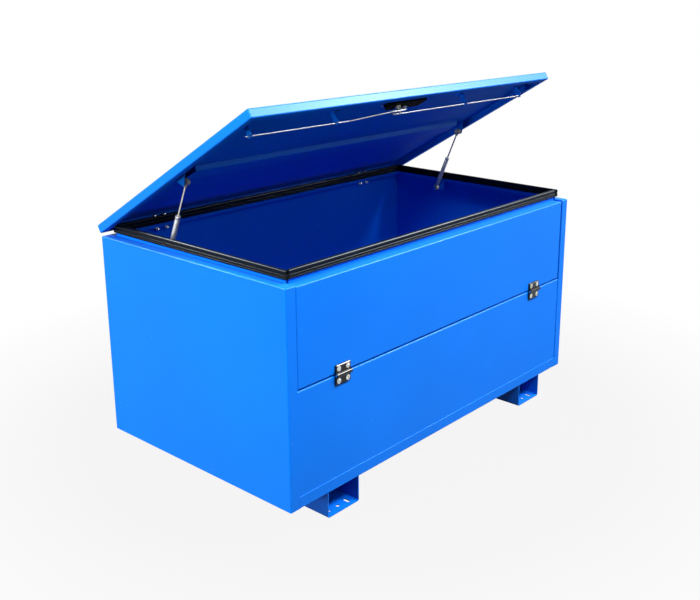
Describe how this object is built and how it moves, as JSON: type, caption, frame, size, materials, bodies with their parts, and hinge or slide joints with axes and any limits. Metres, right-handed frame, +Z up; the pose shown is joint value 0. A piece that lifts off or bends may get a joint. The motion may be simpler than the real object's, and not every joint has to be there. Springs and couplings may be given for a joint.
{
  "type": "jobsite storage box",
  "caption": "Sheet-steel jobsite storage box on channel feet, with a strut-held sealed lid, drop-down upper front door and a two-rod swing-handle latch",
  "frame": {"origin": "on the floor under the middle of the box, at the centre of the foot anchor holes", "axes": "+X to the box's right as seen from the front, the long side; -Y is the front with the drop door; +Z up"},
  "size_m": [1.404, 0.8319, 1.1584],
  "materials": {
    "blue_powder_coat": "semi-gloss powder coat with fine orange peel",
    "black_rubber": "matt extruded rubber",
    "black_hinge": "satin black coating on zinc casting",
    "black_plastic": "matt black moulding",
    "strut_grey": "grey lacquer",
    "strut_fitting": "grey moulded end fitting",
    "strut_rod_steel": "ground and polished rod",
    "zinc_plate": "bright zinc plate"
  },
  "bodies": {
    "box": {"right_side_panel": "blue_powder_coat", "left_side_panel": "blue_powder_coat", "back_panel": "blue_powder_coat", "floor_pan": "blue_powder_coat", "lower_front_panel": "blue_powder_coat", "left_foot_channel": "blue_powder_coat", "right_foot_channel": "blue_powder_coat", "rim_seal": "black_rubber", "left_strut_wall_bracket": "blue_powder_coat", "right_strut_wall_bracket": "blue_powder_coat", "left_strut_wall_stud": "zinc_plate", "right_strut_wall_stud": "zinc_plate", "left_lid_hinge_wall_leaf": "black_hinge", "right_lid_hinge_wall_leaf": "black_hinge", "left_lid_hinge_pin": "zinc_plate", "right_lid_hinge_pin": "zinc_plate", "left_door_hinge_panel_leaf": "black_hinge", "right_door_hinge_panel_leaf": "black_hinge", "left_door_hinge_pin": "zinc_plate", "right_door_hinge_pin": "zinc_plate", "box_hinge_screws": "zinc_plate", "box_hinge_nuts": "zinc_plate"},
    "lid": {"lid_tray": "blue_powder_coat", "lid_stiffener": "blue_powder_coat", "left_strut_lid_bracket": "blue_powder_coat", "right_strut_lid_bracket": "blue_powder_coat", "left_lid_hinge_lid_leaf": "black_hinge", "right_lid_hinge_lid_leaf": "black_hinge", "lid_hinge_screws": "zinc_plate", "lid_hinge_nuts": "zinc_plate", "left_outer_rod_guide": "blue_powder_coat", "left_inner_rod_guide": "blue_powder_coat", "right_inner_rod_guide": "blue_powder_coat", "right_outer_rod_guide": "blue_powder_coat", "latch_dish": "black_plastic", "latch_dish_screws": "zinc_plate"},
    "latch": {"latch_handle": "black_plastic", "latch_spindle": "zinc_plate", "latch_cam": "zinc_plate", "latch_cam_nut": "zinc_plate"},
    "left_rod": {"left_latch_rod": "zinc_plate", "left_rod_clip": "zinc_plate"},
    "right_rod": {"right_latch_rod": "zinc_plate", "right_rod_clip": "zinc_plate"},
    "door": {"door_panel": "blue_powder_coat", "door_seal": "black_rubber", "left_door_hinge_door_leaf": "black_hinge", "right_door_hinge_door_leaf": "black_hinge", "door_hinge_screws": "zinc_plate", "door_hinge_nuts": "zinc_plate"},
    "left_strut_tube": {"left_strut_cylinder": "strut_grey", "left_strut_lower_eye": "strut_fitting"},
    "left_strut_piston": {"left_strut_rod": "strut_rod_steel", "left_strut_upper_eye": "strut_fitting"},
    "right_strut_tube": {"right_strut_cylinder": "strut_grey", "right_strut_lower_eye": "strut_fitting"},
    "right_strut_piston": {"right_strut_rod": "strut_rod_steel", "right_strut_upper_eye": "strut_fitting"}
  },
  "joints": [
    {"name": "lid_hinge", "type": "hinge", "parent": "box", "child": "lid", "pos_m": [0, 0.407, 0.718], "axis": [-1, 0, 0], "range_deg": [-30.6, 0], "stiffness_Nm_per_rad": 40, "springref_deg": 160.43, "deforming": ["rim_seal", "door_seal"]},
    {"name": "door_hinge", "type": "hinge", "parent": "box", "child": "door", "pos_m": [0, -0.405, 0.424], "axis": [1, 0, 0], "range_deg": [0, 170]},
    {"name": "latch_turn", "type": "hinge", "parent": "lid", "child": "latch", "pos_m": [-0.045, -0.20916, 1.11609], "axis": [0, -0.509, -0.8607], "range_deg": [0, 90]},
    {"name": "left_rod_slide", "type": "slide", "parent": "lid", "child": "left_rod", "axis": [-1, 0, 0], "range_m": [0, 0.028]},
    {"name": "right_rod_slide", "type": "slide", "parent": "lid", "child": "right_rod", "axis": [1, 0, 0], "range_m": [0, 0.028]},
    {"name": "left_strut_swing", "type": "hinge", "parent": "box", "child": "left_strut_tube", "pos_m": [-0.64, 0.15, 0.692], "axis": [-1, 0, 0], "range_deg": [-59.51, 0]},
    {"name": "left_strut_extend", "type": "slide", "parent": "left_strut_tube", "child": "left_strut_piston", "axis": [0, -0.3967, 0.9179], "range_m": [-0.0954, 0]},
    {"name": "right_strut_swing", "type": "hinge", "parent": "box", "child": "right_strut_tube", "pos_m": [0.64, 0.15, 0.692], "axis": [-1, 0, 0], "range_deg": [-59.51, 0]},
    {"name": "right_strut_extend", "type": "slide", "parent": "right_strut_tube", "child": "right_strut_piston", "axis": [0, -0.3967, 0.9179], "range_m": [-0.0954, 0]}
  ],
  "couplings": [
    {"joint": "left_rod_slide", "follows": "latch_turn", "m_per_rad": 0.017825},
    {"joint": "right_rod_slide", "follows": "latch_turn", "m_per_rad": 0.017825},
    {"joint": "left_strut_swing", "follows": "lid_hinge", "ratio": 1.9445},
    {"joint": "left_strut_extend", "follows": "lid_hinge", "m_per_rad": 0.1786},
    {"joint": "right_strut_swing", "follows": "lid_hinge", "ratio": 1.9445},
    {"joint": "right_strut_extend", "follows": "lid_hinge", "m_per_rad": 0.1786}
  ]
}
